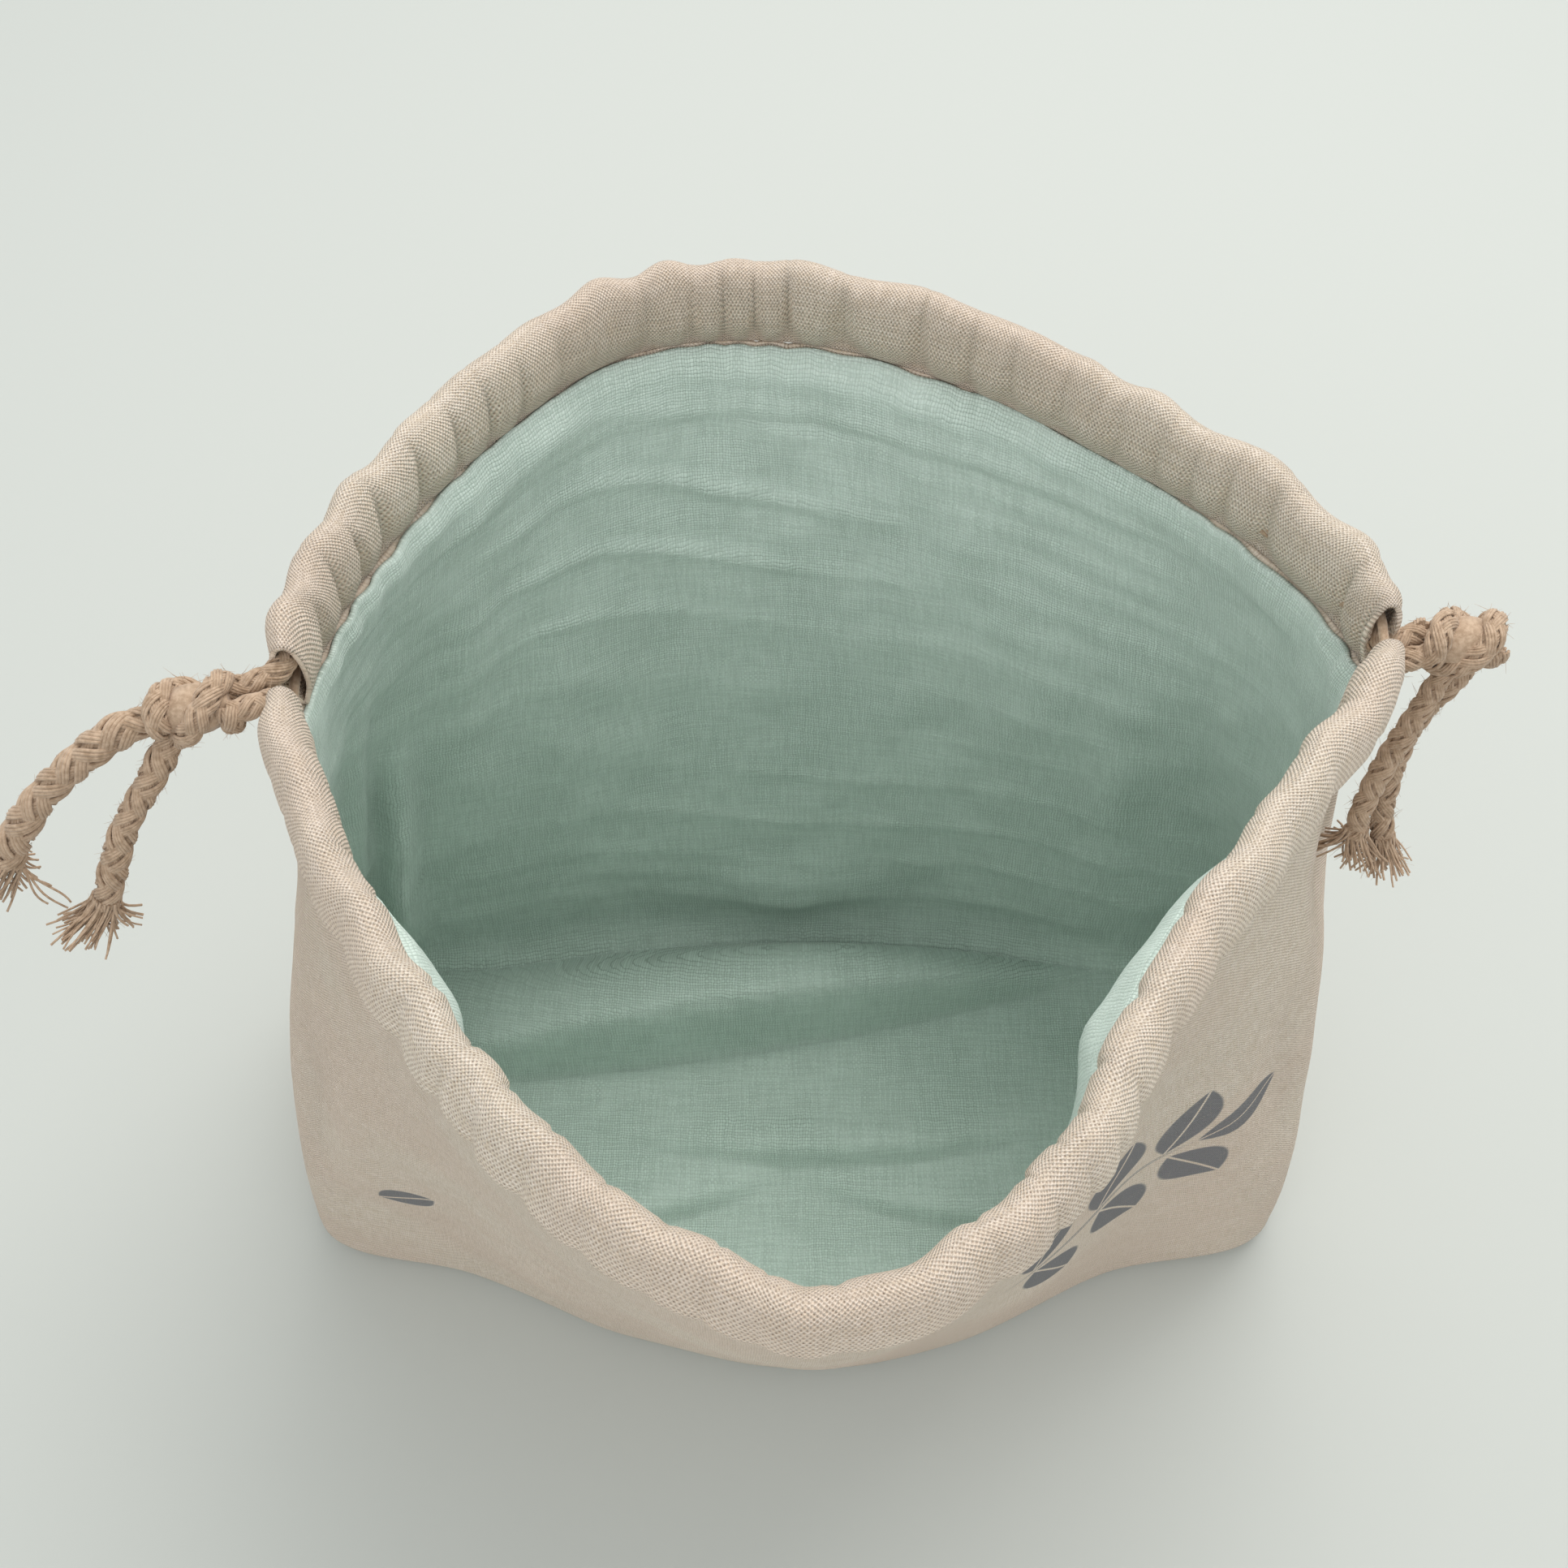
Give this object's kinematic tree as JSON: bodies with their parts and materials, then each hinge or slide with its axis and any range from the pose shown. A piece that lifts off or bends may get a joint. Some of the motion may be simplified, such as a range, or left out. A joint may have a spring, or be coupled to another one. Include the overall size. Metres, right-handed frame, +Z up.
{
  "type": "drawstring storage bag",
  "caption": "Open canvas storage bag with a boxed base, a pale muslin lining and rope drawstrings in a gathered casing, knotted at both side seams",
  "frame": {"origin": "middle of the flat base, on the surface the bag stands on", "axes": "+X to the right along the wide side, +Y from the front to the back, +Z up"},
  "size_m": [0.2924, 0.2254, 0.233],
  "materials": {
    "canvas": "matte natural canvas, plain weave",
    "muslin": "matte sage green gauze",
    "rope": "matte braided cotton"
  },
  "bodies": {
    "root": {"outer_shell": "canvas", "lining": "muslin", "casing_back": "canvas", "casing_front": "canvas", "drawstring_left": "rope", "drawstring_right": "rope", "knot_left": "rope", "knot_right": "rope", "tail_left_outer": "rope", "tail_left_inner": "rope", "tail_right_outer": "rope", "tail_right_inner": "rope", "fray_left_outer": "rope", "fray_left_inner": "rope", "fray_right_outer": "rope", "fray_right_inner": "rope"}
  },
  "joints": []
}
